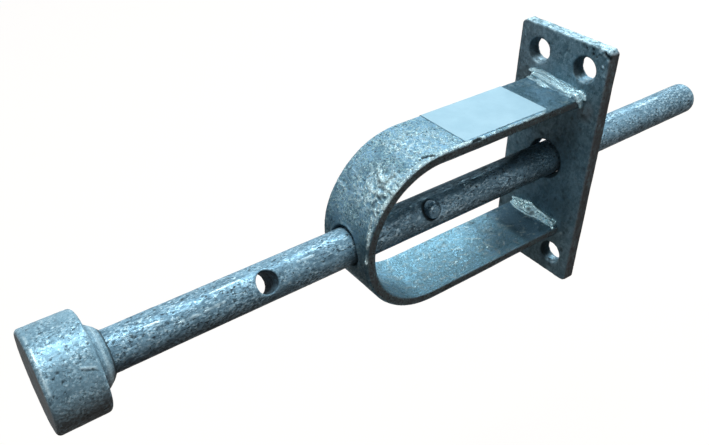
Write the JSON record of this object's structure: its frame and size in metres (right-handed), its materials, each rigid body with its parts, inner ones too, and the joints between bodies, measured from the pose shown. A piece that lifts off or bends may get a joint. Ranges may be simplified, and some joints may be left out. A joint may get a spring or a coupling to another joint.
{
  "type": "gate shoot bolt",
  "caption": "Galvanised shoot bolt for a gate: a round bar with a knob head slides through a bowed strap and a flat screw plate, and a padlock through its cross hole holds it shut.",
  "frame": {"origin": "middle of the screw plate's back face, on the axis of the holes that the bolt runs in, which is also the centre of the four screw holes", "axes": "+X along the bolt, from the head towards the free end that enters the post; +Z along the plate's long side, up; +Y across the plate"},
  "size_m": [0.356, 0.05, 0.124],
  "materials": {
    "zinc_plate": "hot-dip galvanised, dull blue-grey, smooth with faint patches",
    "zinc_strap": "hot-dip galvanised, rough bright runs over dull grey",
    "zinc_weld": "weld bead under bright rippled zinc",
    "zinc_bar": "hot-dip galvanised round bar, mottled satin",
    "zinc_head": "hot-dip galvanised, bright speckled satin",
    "paper": "matt pale paper"
  },
  "bodies": {
    "bracket": {"back_plate": "zinc_plate", "bow_strap": "zinc_strap", "upper_weld": "zinc_weld", "lower_weld": "zinc_weld", "paper_label": "paper"},
    "carrier": {"head_weld": "zinc_weld"},
    "bolt": {"bolt_rod": "zinc_bar", "bolt_head": "zinc_head", "stop_pin": "zinc_bar"}
  },
  "joints": [
    {"name": "bolt_slide", "type": "slide", "parent": "bracket", "child": "carrier", "axis": [1, 0, 0], "range_m": [-0.03, 0.0744]},
    {"name": "bolt_turn", "type": "hinge", "parent": "carrier", "child": "bolt", "pos_m": [0, 0, -0.0008], "axis": [1, 0, 0], "continuous": true}
  ]
}
